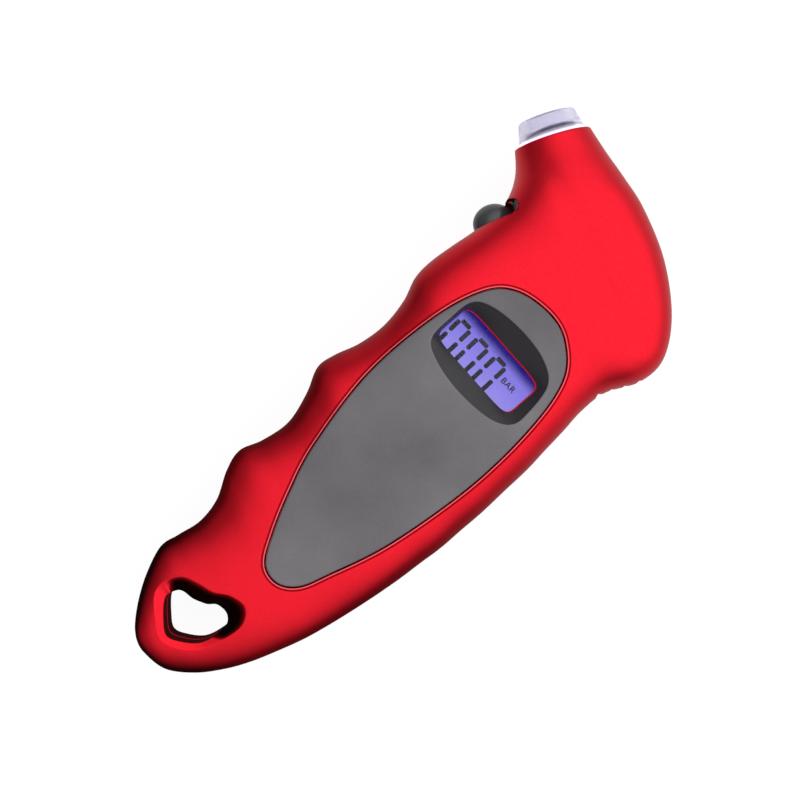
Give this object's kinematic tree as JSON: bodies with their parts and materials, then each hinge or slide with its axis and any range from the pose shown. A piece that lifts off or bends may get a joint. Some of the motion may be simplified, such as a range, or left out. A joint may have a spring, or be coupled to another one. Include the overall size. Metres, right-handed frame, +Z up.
{
  "type": "tire pressure gauge",
  "caption": "Digital tyre pressure gauge: slanting finger-grooved handle with a lit display, barrel head, clear lit nozzle, domed button and lanyard ring.",
  "frame": {"origin": "middle of the flat back, under the centre of the whole gauge's box, at the height of the surface it lies on", "axes": "+X from the tail to the head, +Y the way the nozzle points, +Z up out of the display"},
  "size_m": [0.1345, 0.0956, 0.0285],
  "materials": {
    "red_paint": "satin metallic red paint on moulded plastic",
    "grey_panel": "soft-touch dark grey, fine grain",
    "clear_plastic": "clear moulded plastic",
    "display_glass": "lit blue display glass",
    "backlight": "frosted light guide",
    "white_plastic": "plain white moulding",
    "black_plastic": "smooth black",
    "rubber": "dark soft rubber",
    "silicone": "translucent silicone",
    "board": "green solder mask",
    "brass": "turned brass",
    "steel": "plain bright steel",
    "spring_steel": "nickel-plated spring strip",
    "red_insulation": "red lead insulation",
    "black_insulation": "black lead insulation"
  },
  "bodies": {
    "case": {"front_shell": "red_paint", "rear_shell": "red_paint", "face_panel": "grey_panel", "display_lens": "clear_plastic", "nozzle_light_ring": "clear_plastic", "nozzle_led": "clear_plastic", "lcd_glass": "display_glass", "lcd_backlight": "backlight", "lcd_frame": "white_plastic", "backlight_led": "white_plastic", "tact_switch_body": "black_plastic", "pressure_sensor": "black_plastic", "controller_blob": "black_plastic", "nozzle_seal": "rubber", "lcd_connector_strip": "rubber", "air_hose": "silicone", "main_board": "board", "valve_pin": "brass", "nozzle_fitting": "brass", "coin_cell": "steel", "case_screw_1": "steel", "case_screw_2": "steel", "case_screw_3": "steel", "case_screw_4": "steel", "board_screw_1": "steel", "board_screw_2": "steel", "battery_contact_negative": "spring_steel", "battery_contact_positive": "spring_steel", "hose_clip_sensor": "spring_steel", "hose_clip_fitting": "spring_steel", "battery_lead_red": "red_insulation", "lamp_lead_red": "red_insulation", "battery_lead_black": "black_insulation", "lamp_lead_black": "black_insulation"},
    "button": {"power_button": "black_plastic", "tact_switch_plunger": "white_plastic"},
    "battery_cover": {"battery_door": "red_paint"}
  },
  "joints": [
    {"name": "button_press", "type": "slide", "parent": "case", "child": "button", "axis": [0, -1, 0], "range_m": [0, 0.0008], "stiffness_N_per_m": 2000},
    {"name": "door_turn", "type": "hinge", "parent": "case", "child": "battery_cover", "pos_m": [-0.01076, -0.01687, 0.001], "axis": [0, 0, 1], "range_deg": [0, 40]}
  ]
}
